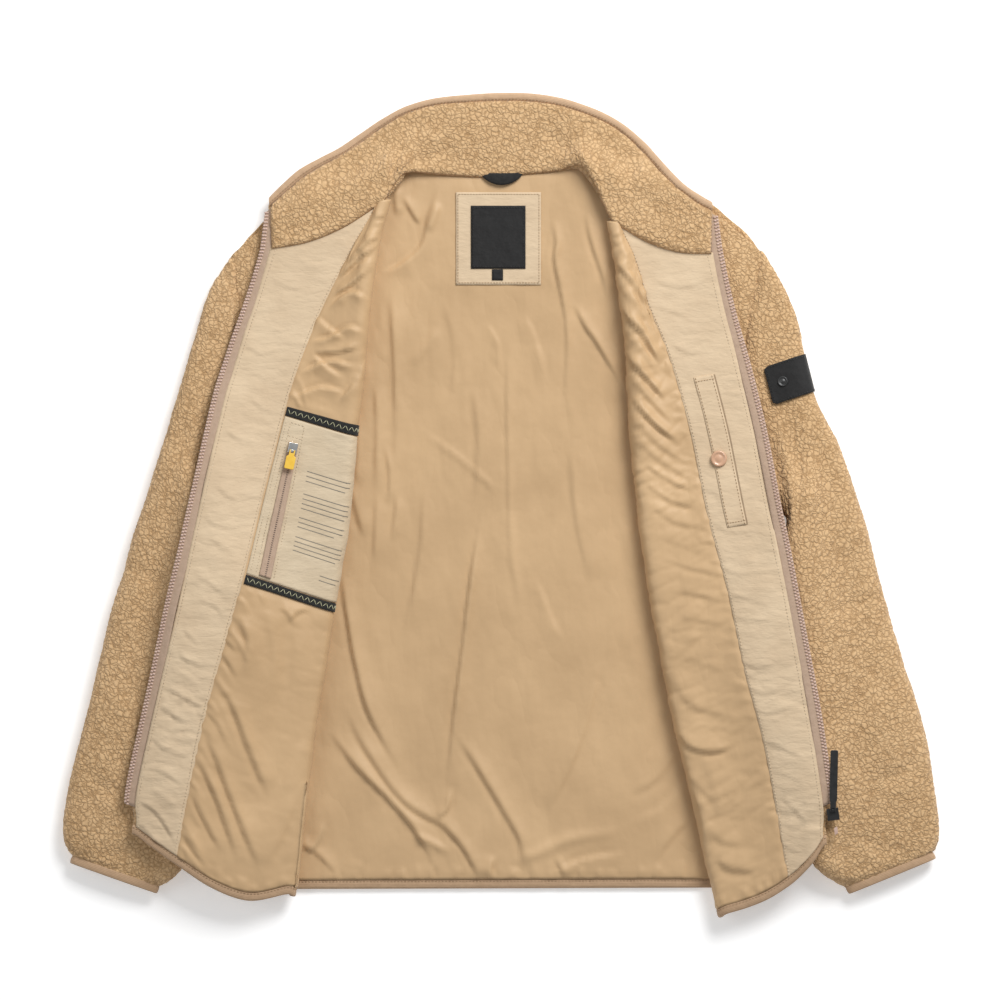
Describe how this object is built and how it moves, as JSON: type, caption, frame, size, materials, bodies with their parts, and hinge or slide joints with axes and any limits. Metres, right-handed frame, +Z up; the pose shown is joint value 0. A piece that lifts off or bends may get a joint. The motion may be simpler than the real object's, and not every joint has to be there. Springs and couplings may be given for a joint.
{
  "type": "fleece jacket",
  "caption": "Sherpa fleece zip jacket with a stand collar, laid open on its back with both fronts folded outward to show the lining, facings and inner pockets.",
  "frame": {"origin": "on the surface the jacket lies on, under the middle of its whole outline", "axes": "+Z up from the surface, +Y from hem to collar, +X to the side of the wearer's left front"},
  "size_m": [0.873, 0.8334, 0.0537],
  "materials": {
    "fleece": "matte deep curly pile",
    "lining": "glossy plain taffeta",
    "facing": "matte crinkled plain weave",
    "binding": "satin woven tape",
    "zip_tape": "fine ribbed woven tape",
    "zip_teeth": "moulded, semi-gloss",
    "black_cloth": "matte woven",
    "black_plastic": "moulded, satin",
    "nickel": "nickel plated",
    "yellow_rubber": "moulded, satin",
    "snap_enamel": "semi-gloss enamel"
  },
  "bodies": {
    "jacket": {"back_lining": "lining", "back_outer": "fleece", "badge_snap": "nickel", "collar_binding": "binding", "collar_inner": "fleece", "collar_outer": "fleece", "cuff_binding_left": "binding", "cuff_binding_right": "binding", "facing_left": "facing", "facing_right": "facing", "front_left_lining": "lining", "front_left_outer": "fleece", "front_right_lining": "lining", "front_right_outer": "fleece", "hanger_loop": "black_cloth", "hem_binding_back": "binding", "hem_binding_left": "binding", "hem_binding_right": "binding", "main_slider": "black_plastic", "neck_label": "black_cloth", "neck_patch": "facing", "pocket_panel": "facing", "pocket_slider": "nickel", "pocket_tape_bottom": "black_cloth", "pocket_tape_top": "black_cloth", "pocket_zip_tape": "zip_tape", "size_tab": "black_cloth", "sleeve_badge": "black_cloth", "sleeve_left": "fleece", "sleeve_right": "fleece", "snap_button": "snap_enamel", "welt_pocket": "facing", "zip_chain_left": "zip_teeth", "zip_chain_right": "zip_teeth", "zip_pin": "black_plastic", "zip_retainer": "black_plastic", "zip_tape_left": "zip_tape", "zip_tape_right": "zip_tape"},
    "main_pull": {"main_pull": "black_plastic"},
    "pocket_pull": {"pocket_pull": "yellow_rubber"}
  },
  "joints": [
    {"name": "main_pull_hinge", "type": "hinge", "parent": "jacket", "child": "main_pull", "pos_m": [0.32961, -0.30722, 0.05258], "axis": [0.9991, -0.0224, 0.0354], "range_deg": [0, 150]},
    {"name": "pocket_pull_hinge", "type": "hinge", "parent": "jacket", "child": "pocket_pull", "pos_m": [-0.20827, 0.05007, 0.03957], "axis": [-0.9774, 0.2027, 0.0603], "range_deg": [0, 150]}
  ]
}
